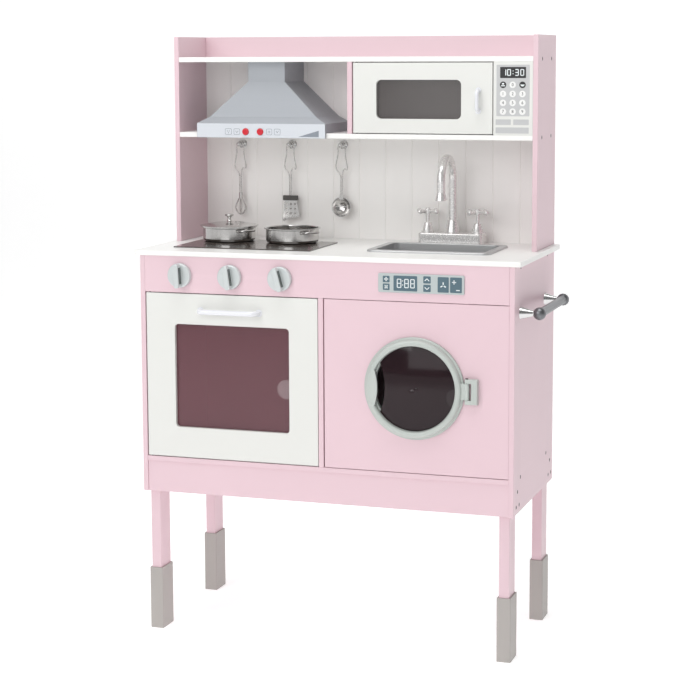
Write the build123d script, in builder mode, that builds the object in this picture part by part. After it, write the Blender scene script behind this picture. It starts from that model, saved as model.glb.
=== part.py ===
"""Toy play kitchen: worktop unit on four legs with an upper shelf unit.

Millimetres, +Z up, front towards -Y. Everything is built with the middle of the
worktop at X = 0, the rear of the boards at Y = 0 and the floor at Z = 0. The last
step moves it all so that the origin is the bottom centre of the bounding box.
"""

import math
import os

from build123d import *

# ---------------------------------------------------------------- driving sizes
TOP_W = 700.0  # worktop width
DEPTH = 310.0  # worktop depth
COUNTER_H = 688.0  # floor to top of worktop
TOTAL_H = 1062.0  # floor to top of upper unit
BOARD = 9.0  # every panel
OVERHANG = 11.0  # worktop past each side panel
UPPER_D = 145.0  # depth of the upper unit
BASE_LOW = 255.0  # lower edge of the base panels
SLEEVE_H = 112.0  # leg sleeve height
RAIL_OUT = 32.5  # towel rail axis from the side panel

# ---------------------------------------------------------------- clearances
DOOR_GAP = 1.5  # above and below a door
HINGE_GAP = 2.0  # at a door's pivot edge
FREE_GAP = 1.0  # at a door's free edge
RUN = 0.06  # radial, pins that turn
SEAT = 0.02  # radial, pins that stay put
SLIP = 0.3  # loose pieces that hang or rest
EASE = 0.8  # eased edge of a painted board

# ---------------------------------------------------------------- derived planes
HALF = TOP_W / 2
OUT = HALF - OVERHANG  # outer face of the side panels
INN = OUT - BOARD  # inner face of the side panels
TOP_Z0 = COUNTER_H - BOARD
SIDE_Y = -(DEPTH - 2.0)  # front edge of the base panels
SHELF2_Z = COUNTER_H + 192.0  # underside of the lower shelf
SHELF1_Z = SHELF2_Z + 136.0  # underside of the upper shelf
BACK_Y = -16.0  # front face of the upper back panel
BACK_T = 6.0
BASE_BACK_Y = -30.0  # front face of the base back panel
PLINTH_TOP = BASE_LOW + 55.0
FLOOR_Z = PLINTH_TOP + BOARD  # top of the bottom board
FASCIA_Z = COUNTER_H - 73.5  # lower edge of the control fascia
RAIL_Z = TOP_Z0 - BOARD  # underside of the rails under the worktop
DIV_X0, DIV_X1 = -6.5, 2.5  # both dividers
LEFT_XC, RIGHT_XC = (DIV_X0 - INN) / 2, (DIV_X1 + INN) / 2  # middles of the two bays
RAIL_D = 40.0  # depth of each rail under the worktop
RAIL_SET, RAIL_REAR = 23.0, 6.0  # front rail behind the panels' front, rear rail before the back
FRONT_RAIL = (SIDE_Y + RAIL_SET, SIDE_Y + RAIL_SET + RAIL_D)
REAR_RAIL = (BASE_BACK_Y - RAIL_REAR - RAIL_D, BASE_BACK_Y - RAIL_REAR)

parts = {}


def keep(builder, label):
    """Store a finished node under its name."""
    builder.part.label = label
    parts[label] = builder.part


def block(x0, x1, y0, y1, z0, z1, mode=Mode.ADD):
    """A box between two corners, inside the current part."""
    with Locations(((x0 + x1) / 2, (y0 + y1) / 2, (z0 + z1) / 2)):
        Box(abs(x1 - x0), abs(y1 - y0), abs(z1 - z0), mode=mode)


def rod_y(x, z, y0, y1, r, mode=Mode.ADD):
    with Locations(Location((x, (y0 + y1) / 2, z), (90, 0, 0))):
        Cylinder(r, abs(y1 - y0), mode=mode)


def rod_x(x0, x1, y, z, r, mode=Mode.ADD):
    with Locations(Location(((x0 + x1) / 2, y, z), (0, 90, 0))):
        Cylinder(r, abs(x1 - x0), mode=mode)


def rod_z(x, y, z0, z1, r, mode=Mode.ADD):
    with Locations((x, y, (z0 + z1) / 2)):
        Cylinder(r, abs(z1 - z0), mode=mode)


def cap_drop(a, h):
    """How far a spherical cap of radius a and height h has dropped at half its radius."""
    r = (a * a + h * h) / (2 * h)
    return r - math.sqrt(r * r - a * a / 4)


def board(label, x0, x1, y0, y1, z0, z1, ease=EASE, cuts=None):
    """A board with eased edges; cuts is a function that machines it."""
    with BuildPart() as b:
        block(x0, x1, y0, y1, z0, z1)
        fillet(b.edges(), ease)
        if cuts:
            cuts(b)
    keep(b, label)


# ---------------------------------------------------------------- panel screws
SCREW_R, SCREW_HEAD, SCREW_L = 1.8, 3.4, 22.0
LEG_X, LEG_Y = 18.0, 42.0  # leg section
LEG_FRONT = SIDE_Y + BOARD + 2.0  # front face of the front legs
SLEEVE_WALL, SOCKET = 3.4, 60.0
LEG_BACK = -(SLEEVE_WALL - 1.0)  # rear face of the back legs, so the sleeves end at Y = 0
BOARD_MID = BOARD / 2
base_screws = [
    (LEG_FRONT + 40.0, PLINTH_TOP + BOARD_MID),
    (-55.0, PLINTH_TOP + BOARD_MID),
    (sum(FRONT_RAIL) / 2, RAIL_Z + BOARD_MID),
    (sum(REAR_RAIL) / 2, RAIL_Z + BOARD_MID),
    (LEG_FRONT + 19.0, PLINTH_TOP - 17.0),
    (LEG_FRONT + 10.0, PLINTH_TOP - 42.0),
    (LEG_FRONT + 32.0, PLINTH_TOP - 42.0),
    (LEG_BACK - 21.0, PLINTH_TOP - 15.0),
    (LEG_BACK - 32.0, PLINTH_TOP - 40.0),
    (LEG_BACK - 10.0, PLINTH_TOP - 40.0),
]
upper_screws = [
    (-UPPER_D * 0.77, SHELF1_Z + BOARD_MID),
    (-UPPER_D * 0.26, SHELF1_Z + BOARD_MID),
    (-UPPER_D * 0.77, SHELF2_Z + BOARD_MID),
    (-UPPER_D * 0.26, SHELF2_Z + BOARD_MID),
]


def screw_holes(points, both=True):
    """Holes for the panel screws, from both side panels inwards."""
    for y, z in points:
        for s in (1, -1) if both else (1,):
            rod_x(s * (OUT - SCREW_L - 1.0), s * (OUT + 1.0), y, z, SCREW_R + 0.1, Mode.SUBTRACT)
            rod_x(s * (OUT - 1.2), s * (OUT + 1.0), y, z, SCREW_HEAD + 0.1, Mode.SUBTRACT)


with BuildPart() as screws:
    for y, z in base_screws + upper_screws:
        for s in (1, -1):
            rod_x(s * (OUT - SCREW_L), s * (OUT - 1.0), y, z, SCREW_R)
            rod_x(s * (OUT - 1.1), s * (OUT - 0.1), y, z, SCREW_HEAD)
            with Locations((s * OUT, y, z)):
                Box(1.6, 4.0, 0.9, mode=Mode.SUBTRACT)
                Box(1.6, 0.9, 4.0, mode=Mode.SUBTRACT)
keep(screws, "panel_screws")

# ---------------------------------------------------------------- base carcass
KNOB_X = (LEFT_XC - 93.75, LEFT_XC + 0.25, LEFT_XC + 93.25)
KNOB_Z = COUNTER_H - 42.5
SPINDLE_R = 3.0
PIVOT_IN = 5.5  # pivot pin from the door's hinge edge
PIN_R = 2.0
PIN_OUT = 6.0  # pin length past the door
DOOR_Y = SIDE_Y + BOARD_MID  # pivot axis of the oven door
OVEN_X0, OVEN_X1 = -INN + HINGE_GAP, DIV_X0 - FREE_GAP
OVEN_Z0, OVEN_Z1 = FLOOR_Z + DOOR_GAP, FASCIA_Z - DOOR_GAP
OVEN_PIN_X = OVEN_X0 + PIVOT_IN
WASH_X, WASH_Z = RIGHT_XC - 0.25, (FLOOR_Z + FASCIA_Z) / 2
WASH_R = 88.0  # ring outside
HOLE_R = 74.5  # round hole in the washer front
PIVOT_X = WASH_X + WASH_R + 5.0  # washer door pivot
PIVOT_Y = SIDE_Y - 6.0
BRACKET_X1 = WASH_X + WASH_R + 24.0
VENT_R = 18.5


def side_cuts(b):
    screw_holes(base_screws)


for name, s in (("base_left_side", -1), ("base_right_side", 1)):
    board(name, s * INN, s * OUT, SIDE_Y, 0, BASE_LOW, TOP_Z0, cuts=side_cuts)


def bottom_cuts(b):
    screw_holes(base_screws)
    rod_z(OVEN_PIN_X, DOOR_Y, FLOOR_Z - PIN_OUT + 1.0, FLOOR_Z + 1, PIN_R + RUN, Mode.SUBTRACT)


board("base_bottom", -INN, INN, SIDE_Y, 0, PLINTH_TOP, FLOOR_Z, cuts=bottom_cuts)


def back_cuts(b):
    for x in (-WASH_X - 3.0, WASH_X - 3.0):
        rod_y(x, FLOOR_Z + 79.0, BASE_BACK_Y - 1, BASE_BACK_Y + BACK_T + 1, VENT_R, Mode.SUBTRACT)


board(
    "base_back", -INN, INN, BASE_BACK_Y, BASE_BACK_Y + BACK_T, FLOOR_Z, TOP_Z0, 0.5, back_cuts
)

with BuildPart() as rails:
    for y0, y1 in (FRONT_RAIL, REAR_RAIL):
        block(-INN, INN, y0, y1, RAIL_Z, TOP_Z0)
    fillet(rails.edges(), EASE)
    screw_holes(base_screws)
keep(rails, "top_rails")


def fascia_cuts(b):
    for x in KNOB_X:
        rod_y(x, KNOB_Z, SIDE_Y - 1, SIDE_Y + BOARD + 1, SPINDLE_R + RUN, Mode.SUBTRACT)
    rod_z(OVEN_PIN_X, DOOR_Y, FASCIA_Z - 1, FASCIA_Z + PIN_OUT - 1, PIN_R + RUN, Mode.SUBTRACT)


board("control_fascia", -INN, INN, SIDE_Y, SIDE_Y + BOARD, FASCIA_Z, TOP_Z0, cuts=fascia_cuts)
board("plinth", -INN, INN, SIDE_Y + 2, SIDE_Y + 2 + BOARD, BASE_LOW, PLINTH_TOP)

with BuildPart() as divider:
    block(DIV_X0, DIV_X1, SIDE_Y, BASE_BACK_Y, FLOOR_Z, FASCIA_Z - 0.01)
    fillet(divider.edges().filter_by(Axis.Z).group_by(Axis.Y)[0], EASE)
    block(DIV_X0, DIV_X1, SIDE_Y + BOARD, BASE_BACK_Y, FASCIA_Z - 0.02, RAIL_Z)
keep(divider, "base_divider")


def washer_cuts(b):
    rod_y(WASH_X, WASH_Z, SIDE_Y - 1, SIDE_Y + BOARD + 1, HOLE_R, Mode.SUBTRACT)


board(
    "washer_front", DIV_X1 + 2.0, INN, SIDE_Y, SIDE_Y + BOARD, FLOOR_Z + 1, FASCIA_Z - 1,
    cuts=washer_cuts,
)

# ---------------------------------------------------------------- worktop and sink
TAP_BLOCK_W, TAP_BLOCK_D, TAP_BLOCK_H = 119.0, 45.0, 20.0
TAP_Y = -47.0
SINK_W, SINK_DX = 223.0, -2.75
SINK_TAP_GAP, SINK_RAIL_GAP = 8.5, 17.0  # rim to the tap block and to the front rail
SINK_X0 = RIGHT_XC + SINK_DX - SINK_W / 2
SINK_X1 = SINK_X0 + SINK_W
SINK_Y0, SINK_Y1 = FRONT_RAIL[1] + SINK_RAIL_GAP, TAP_Y - TAP_BLOCK_D / 2 - SINK_TAP_GAP
SINK_DEEP = 46.0
RIM_W, RIM_H, SINK_T = 13.0, 3.6, 1.6
SINK_XC, SINK_YC = (SINK_X0 + SINK_X1) / 2, (SINK_Y0 + SINK_Y1) / 2
BOWL_W = SINK_X1 - SINK_X0 - 2 * RIM_W
BOWL_D = SINK_Y1 - SINK_Y0 - 2 * RIM_W

with BuildPart() as worktop:
    with BuildSketch(Plane.XY.offset(TOP_Z0)) as sk:
        with Locations((0, -DEPTH / 2)):
            RectangleRounded(TOP_W, DEPTH, 3.0)
    extrude(amount=BOARD)
    fillet(worktop.faces().sort_by(Axis.Z)[-1].edges(), 2.0)
    fillet(worktop.faces().sort_by(Axis.Z)[0].edges(), 0.8)
    with BuildSketch(Plane.XY.offset(TOP_Z0)) as sk:
        with Locations((SINK_XC, SINK_YC)):
            RectangleRounded(BOWL_W + 2 * SINK_T + 2, BOWL_D + 2 * SINK_T + 2, 15.0)
    extrude(amount=BOARD, mode=Mode.SUBTRACT)
keep(worktop, "worktop")

with BuildPart() as sink:
    with BuildSketch(Plane.XY.offset(COUNTER_H)) as sk:
        with Locations((SINK_XC, SINK_YC)):
            RectangleRounded(SINK_X1 - SINK_X0, SINK_Y1 - SINK_Y0, 16.0)
    extrude(amount=RIM_H)
    fillet(sink.faces().sort_by(Axis.Z)[-1].edges(), 2.2)
    with BuildSketch(Plane.XY.offset(COUNTER_H - SINK_DEEP)) as sk:
        with Locations((SINK_XC, SINK_YC)):
            RectangleRounded(BOWL_W + 2 * SINK_T, BOWL_D + 2 * SINK_T, 14.0)
    extrude(amount=SINK_DEEP + 1.0)
    with BuildSketch(Plane.XY.offset(COUNTER_H - SINK_DEEP + SINK_T)) as sk:
        with Locations((SINK_XC, SINK_YC)):
            RectangleRounded(BOWL_W, BOWL_D, 13.0)
    extrude(amount=SINK_DEEP + RIM_H, mode=Mode.SUBTRACT)
    mouth = sink.edges().group_by(Axis.Z)[-1]
    fillet(mouth, 1.2)
    rod_z(SINK_XC, SINK_YC, COUNTER_H - SINK_DEEP - 2.0, COUNTER_H - SINK_DEEP + 0.5, 16.0)
    rod_z(
        SINK_XC, SINK_YC, COUNTER_H - SINK_DEEP + 0.6, COUNTER_H - SINK_DEEP + SINK_T + 1, 14.0,
        Mode.SUBTRACT,
    )
    with Locations((SINK_XC, SINK_YC, COUNTER_H - SINK_DEEP)):
        with PolarLocations(8.0, 6):
            Cylinder(1.8, 8.0, mode=Mode.SUBTRACT)
        Cylinder(1.8, 8.0, mode=Mode.SUBTRACT)
keep(sink, "sink_basin")

# ---------------------------------------------------------------- hob
HOB_W, HOB_D, HOB_IN = 260.0, 154.0, 30.0  # size, and its place from the side panel
HOB_X0, HOB_X1 = -INN + HOB_IN, -INN + HOB_IN + HOB_W
HOB_YC = -DEPTH / 2 - 20.0
HOB_Y0, HOB_Y1 = HOB_YC - HOB_D / 2, HOB_YC + HOB_D / 2
HOB_T = 2.0
with BuildPart() as hob:
    with BuildSketch(Plane.XY.offset(COUNTER_H)) as sk:
        with Locations(((HOB_X0 + HOB_X1) / 2, (HOB_Y0 + HOB_Y1) / 2)):
            RectangleRounded(HOB_X1 - HOB_X0, HOB_Y1 - HOB_Y0, 4.0)
    extrude(amount=HOB_T)
    fillet(hob.faces().sort_by(Axis.Z)[-1].edges(), 0.6)
keep(hob, "hob_plate")

# ---------------------------------------------------------------- tap
TAP_X = SINK_XC - 2.0
TAP_BLOCK_Z = COUNTER_H + TAP_BLOCK_H
HANDLE_DX = 46.5
STEM_R, RISER_R = 3.5, 7.6
BELL_H, MID_BELL_H = 17.0, 23.0
BORE_DEEP = 12.0
REACH = 40.0  # radius of the gooseneck bend
BEND_Z = COUNTER_H + 116.0


def bell(x, y, z, r0, r1, h):
    """A turned bell on the tap block: flared foot, waist, rounded neck."""
    with BuildSketch(Plane.XZ.offset(-y)) as sk:
        with BuildLine():
            a = (x, z)
            b = (x + r0, z)
            c = (x + r0, z + h * 0.12)
            d = (x + r1, z + h)
            Line(a, b)
            Line(b, c)
            ThreePointArc(c, (x + r1 + (r0 - r1) * 0.38, z + h * 0.6), d)
            Line(d, (x, z + h))
            Line((x, z + h), a)
        make_face()
    revolve(sk.sketch, axis=Axis((x, y, z), (0, 0, 1)))


with BuildPart() as tap_block:
    with BuildSketch(Plane.XY.offset(COUNTER_H)) as sk:
        with Locations((TAP_X, TAP_Y)):
            RectangleRounded(TAP_BLOCK_W, TAP_BLOCK_D, 7.0)
    extrude(amount=TAP_BLOCK_H)
    fillet(tap_block.faces().sort_by(Axis.Z)[-1].edges(), 1.8)
    for s in (-1, 1):
        bell(TAP_X + s * HANDLE_DX, TAP_Y, TAP_BLOCK_Z - 0.5, 12.0, 6.2, BELL_H + 0.5)
    bell(TAP_X, TAP_Y, TAP_BLOCK_Z - 0.5, 13.5, 9.2, MID_BELL_H + 0.5)
    for s in (-1, 1):
        z1 = TAP_BLOCK_Z + BELL_H
        rod_z(TAP_X + s * HANDLE_DX, TAP_Y, z1 - BORE_DEEP - 1, z1 + 1, STEM_R + RUN, Mode.SUBTRACT)
    z1 = TAP_BLOCK_Z + MID_BELL_H
    rod_z(TAP_X, TAP_Y, z1 - BORE_DEEP - 1, z1 + 1, RISER_R + RUN, Mode.SUBTRACT)
keep(tap_block, "tap_block")

with BuildPart() as spout:
    z0 = TAP_BLOCK_Z + MID_BELL_H - BORE_DEEP
    with BuildLine() as neck:
        Line((TAP_X, TAP_Y, z0), (TAP_X, TAP_Y, BEND_Z))
        ThreePointArc(
            (TAP_X, TAP_Y, BEND_Z),
            (TAP_X, TAP_Y - REACH, BEND_Z + REACH),
            (TAP_X, TAP_Y - 2 * REACH, BEND_Z),
        )
        Line((TAP_X, TAP_Y - 2 * REACH, BEND_Z), (TAP_X, TAP_Y - 2 * REACH, BEND_Z - 20.0))
    with BuildSketch(Plane(origin=(TAP_X, TAP_Y, z0), z_dir=(0, 0, 1))) as sk:
        Circle(RISER_R)
    sweep(path=neck.wires()[0])
    with Locations((TAP_X, TAP_Y - 2 * REACH, BEND_Z - 25.0)):
        Cone(10.4, RISER_R, 14.0)
    rod_z(TAP_X, TAP_Y - 2 * REACH, BEND_Z - 33.0, BEND_Z - 14.0, 6.4, Mode.SUBTRACT)
keep(spout, "tap_spout")

HANDLE_Z = COUNTER_H + 58.0
for name, s in (("tap_handle_left", -1), ("tap_handle_right", 1)):
    with BuildPart() as handle:
        x = TAP_X + s * HANDLE_DX
        rod_z(x, TAP_Y, TAP_BLOCK_Z + BELL_H - BORE_DEEP, HANDLE_Z, STEM_R)
        with Locations((x, TAP_Y, HANDLE_Z)):
            Cylinder(6.2, 8.0)
            Sphere(5.2)
        for k in range(4):
            with Locations(Location((x, TAP_Y, HANDLE_Z), (0, 0, 45 * s + 90 * k + 18))):
                with Locations(Location((12.0, 0, 0), (0, 90, 0))):
                    Cone(2.6, 3.6, 18.0)
                with Locations((21.0, 0, 0)):
                    Sphere(4.4)
        with Locations((x, TAP_Y, HANDLE_Z + 4.4)):
            Cylinder(4.0, 3.0)
    keep(handle, name)

# ---------------------------------------------------------------- hob knobs and display
KNOB_R, KNOB_T, GRIP_W, GRIP_OUT = 21.5, 8.0, 9.5, 21.0
KNOB_TILT = (3.0, 8.0, 15.0)
for i, (x, tilt) in enumerate(zip(KNOB_X, KNOB_TILT)):
    with BuildPart() as knob:
        y = SIDE_Y - 0.6
        rod_y(x, KNOB_Z, y - KNOB_T, y, KNOB_R)
        fillet(knob.faces().sort_by(Axis.Y)[0].edges(), 2.4)
        with BuildSketch(Plane(origin=(x, y - 2.0, KNOB_Z), x_dir=(1, 0, 0), z_dir=(0, -1, 0))) as sk:
            with Locations(Location((0, 0), tilt)):
                RectangleRounded(GRIP_W, 2 * KNOB_R - 1.0, 4.0)
        extrude(amount=GRIP_OUT - 2.0)
        fillet(knob.faces().sort_by(Axis.Y)[0].edges(), 1.6)
        rod_y(x, KNOB_Z, y - 1.0, SIDE_Y + BOARD + 6.0, SPINDLE_R)
        rod_y(x, KNOB_Z, SIDE_Y + BOARD + 0.8, SIDE_Y + BOARD + 3.0, 6.5)
    keep(knob, f"hob_knob_{i + 1}")

DISP_W, DISP_DX = 150.5, 11.5
DISP_X0 = RIGHT_XC + DISP_DX - DISP_W / 2
DISP_X1 = DISP_X0 + DISP_W
DISP_Z0, DISP_Z1 = COUNTER_H - 58.5, COUNTER_H - 26.0
DISP_T = 2.4
with BuildPart() as display:
    with BuildSketch(
        Plane(
            origin=((DISP_X0 + DISP_X1) / 2, SIDE_Y, (DISP_Z0 + DISP_Z1) / 2),
            x_dir=(1, 0, 0), z_dir=(0, -1, 0),
        )
    ) as sk:
        RectangleRounded(DISP_X1 - DISP_X0, DISP_Z1 - DISP_Z0, 2.5)
    extrude(amount=DISP_T)
    fillet(display.faces().sort_by(Axis.Y)[0].edges(), 0.6)
keep(display, "display_plate")

# ---------------------------------------------------------------- hinged doors with a window
REBATE, PANE_T, PANE_FIT = 8.0, 2.4, 0.3


def window_door(label, x0, x1, z0, z1, y, win, corner, pin_x):
    """An inset door with a window hole, a rebate behind it, and holes for two pivot pins."""
    wx0, wx1, wz0, wz1 = win
    front = Plane(origin=((wx0 + wx1) / 2, y, (wz0 + wz1) / 2), x_dir=(1, 0, 0), z_dir=(0, -1, 0))
    with BuildPart() as door:
        block(x0, x1, y, y + BOARD, z0, z1)
        fillet(door.edges(), 1.0)
        with BuildSketch(front) as sk:
            RectangleRounded(wx1 - wx0, wz1 - wz0, corner)
        extrude(amount=-BOARD, mode=Mode.SUBTRACT)
        with BuildSketch(front.offset(-BOARD)) as sk:
            RectangleRounded(wx1 - wx0 + 2 * REBATE, wz1 - wz0 + 2 * REBATE, corner + 3)
        extrude(amount=PANE_T, mode=Mode.SUBTRACT)
        for za, zb in ((z0 - 1, z0 + 12.2), (z1 - 12.2, z1 + 1)):
            rod_z(pin_x, y + BOARD_MID, za, zb, PIN_R + SEAT, Mode.SUBTRACT)
    keep(door, label)


def pane(label, y, win, corner):
    wx0, wx1, wz0, wz1 = win
    back = Plane(
        origin=((wx0 + wx1) / 2, y + BOARD, (wz0 + wz1) / 2), x_dir=(1, 0, 0), z_dir=(0, -1, 0)
    )
    grow = 2 * (REBATE - PANE_FIT)
    with BuildPart() as glass:
        with BuildSketch(back.offset(PANE_T)) as sk:
            RectangleRounded(wx1 - wx0 + grow, wz1 - wz0 + grow, corner + 2.7)
        extrude(amount=-(PANE_T - 0.2))
    keep(glass, label)


def pins(label, x, y, z0, z1):
    with BuildPart() as pin:
        rod_z(x, y, z0 - PIN_OUT + DOOR_GAP, z0 + 12.0, PIN_R)
        rod_z(x, y, z1 - 12.0, z1 + PIN_OUT - DOOR_GAP, PIN_R)
    keep(pin, label)


def bow_handle(label, a, b, y, proud, r, bend):
    """A round bar bowed out from a door face, between two feet at a and b (x, z)."""
    (xa, za), (xb, zb) = a, b
    horizontal = abs(xb - xa) > abs(zb - za)
    t = 3.0 if xb + zb > xa + za else -3.0
    ax, az = (t, 0) if horizontal else (0, t)
    with BuildPart() as grip:
        with BuildLine() as path:
            FilletPolyline(
                (xa, y, za), (xa + ax, y - proud, za + az), (xb - ax, y - proud, zb - az), (xb, y, zb),
                radius=bend,
            )
        w = path.wires()[0]
        with BuildSketch(Plane(origin=w @ 0, z_dir=w % 0)) as sk:
            Circle(r)
        sweep(path=w)
        block(
            min(xa, xb) - 20, max(xa, xb) + 20, y, y + 20, min(za, zb) - 20, max(za, zb) + 20,
            Mode.SUBTRACT,
        )
        for x, z in (a, b):
            rod_y(x, z, y - 1.6, y, r + 1.6)
    keep(grip, label)


OVEN_WIN = (OVEN_X0 + 54.0, OVEN_X1 - 52.5, FLOOR_Z + 55.5, FASCIA_Z - 55.5)
window_door(
    "oven_door", OVEN_X0, OVEN_X1, OVEN_Z0, OVEN_Z1, SIDE_Y, OVEN_WIN, 6.5, OVEN_PIN_X
)
pane("oven_window", SIDE_Y, OVEN_WIN, 6.5)
pins("oven_pins", OVEN_PIN_X, DOOR_Y, OVEN_Z0, OVEN_Z1)
OVEN_GRIP_Z = FASCIA_Z - 30.5
OVEN_GRIP_OUT = 17.0
OVEN_GRIP_W = 109.0
OVEN_GRIP_X = (OVEN_X0 + OVEN_X1) / 2 - 1.75
bow_handle(
    "oven_handle", (OVEN_GRIP_X - OVEN_GRIP_W / 2, OVEN_GRIP_Z),
    (OVEN_GRIP_X + OVEN_GRIP_W / 2, OVEN_GRIP_Z), SIDE_Y, OVEN_GRIP_OUT, 4.6, 9.0,
)

MW_Y = -UPPER_D
MW_PANEL_W, MW_PANEL_GAP = 70.0, 1.5  # key panel, and its gap to the door
MW_X0, MW_X1 = DIV_X1 + HINGE_GAP, INN - MW_PANEL_W - MW_PANEL_GAP
MW_Z0, MW_Z1 = SHELF2_Z + BOARD + DOOR_GAP, SHELF1_Z - DOOR_GAP
MW_PIN_X = MW_X0 + PIVOT_IN
MW_WIN = (MW_X0 + 43.0, MW_X1 - 56.0, MW_Z0 + 25.5, MW_Z1 - 30.0)
window_door(
    "microwave_door", MW_X0, MW_X1, MW_Z0, MW_Z1, MW_Y, MW_WIN, 9.0, MW_PIN_X
)
pane("microwave_window", MW_Y, MW_WIN, 9.0)
pins("microwave_pins", MW_PIN_X, MW_Y + BOARD_MID, MW_Z0, MW_Z1)
MW_GRIP_X = MW_X1 - 25.0
MW_GRIP_Z = (MW_Z0 + MW_Z1) / 2 - 4.0
bow_handle(
    "microwave_handle", (MW_GRIP_X, MW_GRIP_Z - 18.0), (MW_GRIP_X, MW_GRIP_Z + 18.0), MW_Y,
    12.0, 3.4, 5.0,
)
board(
    "microwave_panel", MW_X1 + MW_PANEL_GAP, INN, MW_Y, MW_Y + BOARD, SHELF2_Z + BOARD, SHELF1_Z
)

# magnetic catches that stop the two inset doors
with BuildPart() as catches:
    block(DIV_X0 - 10.0, DIV_X0, SIDE_Y + BOARD + 0.2, SIDE_Y + BOARD + 12.0, OVEN_Z1 - 24, OVEN_Z1 - 8)
    block(MW_X1 - 6.0, MW_X1 + 12.0, MW_Y + BOARD + 0.2, MW_Y + BOARD + 12.0, MW_Z1 - 10, MW_Z1 + DOOR_GAP)
    fillet(catches.edges(), 0.6)
keep(catches, "door_catches")

# ---------------------------------------------------------------- washer door
RING_BACK = SIDE_Y - 0.6
RING_FRONT = SIDE_Y - 13.0
DOME_R = 72.6  # dome seat radius
DOME_H, DOME_T = 9.0, 2.4
GRIP_R, GRIP_X = 97.5, WASH_X - 160.0  # circle that shapes the crescent grip
SLOT_W = 13.0  # finger slot beside the grip
KNUCKLE_R, HINGE_PIN_R, KNUCKLE_H = 4.2, 1.6, 28.0
EAR_H = 7.0


def turned(profile, x, z):
    """Revolve a closed (radius, y) outline about the Y axis through (x, z)."""
    with BuildSketch(Plane.XY.offset(z)) as sk:
        with BuildLine():
            Polyline(*[(x + r, y) for r, y in profile], close=True)
        make_face()
    revolve(sk.sketch, axis=Axis((x, 0, z), (0, 1, 0)))


with BuildPart() as ring:
    turned(
        [
            (70.4, RING_BACK + 5.0), (72.6, RING_BACK + 5.0), (72.6, RING_BACK), (WASH_R, RING_BACK),
            (WASH_R, RING_BACK - 3.0), (WASH_R - 1.0, RING_BACK - 4.0), (WASH_R - 3.2, RING_BACK - 4.4),
            (WASH_R - 4.2, RING_BACK - 9.0), (WASH_R - 5.8, RING_FRONT + 1.0), (WASH_R - 8.2, RING_FRONT),
            (WASH_R - 11.4, RING_FRONT), (WASH_R - 13.6, RING_FRONT + 1.2), (WASH_R - 14.6, RING_FRONT + 3.2),
            (DOME_R + 0.2, RING_BACK - 5.6), (DOME_R + 0.2, RING_BACK - 3.0), (70.4, RING_BACK - 3.0),
        ],
        WASH_X, WASH_Z,
    )
    with BuildSketch(Plane(origin=(0, RING_FRONT - 0.4, 0), x_dir=(1, 0, 0), z_dir=(0, -1, 0))) as sk:
        with Locations((WASH_X, WASH_Z)):
            Circle(DOME_R + 4.0)
        with Locations((GRIP_X, WASH_Z)):
            Circle(GRIP_R, mode=Mode.INTERSECT)
    extrude(amount=-4.0)
    arm = (PIVOT_X - 10.0, PIVOT_X, PIVOT_Y - 2.6, PIVOT_Y + 2.6)
    block(*arm, WASH_Z - KNUCKLE_H / 2, WASH_Z + KNUCKLE_H / 2)
    rod_z(PIVOT_X, PIVOT_Y, WASH_Z - KNUCKLE_H / 2, WASH_Z + KNUCKLE_H / 2, KNUCKLE_R)
    rod_z(PIVOT_X, PIVOT_Y, WASH_Z - 20, WASH_Z + 20, HINGE_PIN_R + RUN, Mode.SUBTRACT)
keep(ring, "washer_ring")

with BuildPart() as dome:
    rim_y = RING_BACK - 5.6
    with BuildSketch(Plane.XY.offset(WASH_Z)) as sk:
        with BuildLine():
            a = (WASH_X, rim_y - DOME_H)
            b = (WASH_X + DOME_R, rim_y)
            c = (WASH_X + DOME_R, rim_y + DOME_T)
            d = (WASH_X, rim_y - DOME_H + DOME_T)
            sag = cap_drop(DOME_R, DOME_H)
            ThreePointArc(a, (WASH_X + DOME_R / 2, rim_y - DOME_H + sag), b)
            Line(b, c)
            ThreePointArc(c, (WASH_X + DOME_R / 2, rim_y - DOME_H + sag + DOME_T), d)
            Line(d, a)
        make_face()
    revolve(axis=Axis((WASH_X, 0, WASH_Z), (0, 1, 0)))
    with BuildSketch(Plane(origin=(0, rim_y - 20, 0), x_dir=(1, 0, 0), z_dir=(0, -1, 0))) as sk:
        with Locations((GRIP_X + SLOT_W, WASH_Z)):
            Circle(GRIP_R)
    extrude(amount=-40.0, mode=Mode.SUBTRACT)
keep(dome, "washer_window")

with BuildPart() as bracket:
    z0, z1 = WASH_Z - KNUCKLE_H / 2 - 0.5, WASH_Z + KNUCKLE_H / 2 + 0.5
    block(PIVOT_X + 8.0, BRACKET_X1, PIVOT_Y - 4.0, SIDE_Y, z0 - EAR_H, z1 + EAR_H)
    fillet(bracket.faces().sort_by(Axis.Y)[0].edges(), 1.6)
    for za, zb in ((z0 - EAR_H, z0), (z1, z1 + EAR_H)):
        block(PIVOT_X, PIVOT_X + 9.5, PIVOT_Y - 3.6, SIDE_Y, za, zb)
        rod_z(PIVOT_X, PIVOT_Y, za, zb, 3.6)
        rod_z(PIVOT_X, PIVOT_Y, za - 1, zb + 1, HINGE_PIN_R + SEAT, Mode.SUBTRACT)
    block(PIVOT_X - 3.6, PIVOT_X + 9.5, PIVOT_Y, SIDE_Y, z0 - EAR_H, z0)
    block(PIVOT_X - 3.6, PIVOT_X + 9.5, PIVOT_Y, SIDE_Y, z1, z1 + EAR_H)
    for za, zb in ((z0 - EAR_H, z0), (z1, z1 + EAR_H)):
        rod_z(PIVOT_X, PIVOT_Y, za - 1, zb + 1, HINGE_PIN_R + SEAT, Mode.SUBTRACT)
keep(bracket, "washer_hinge")

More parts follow.
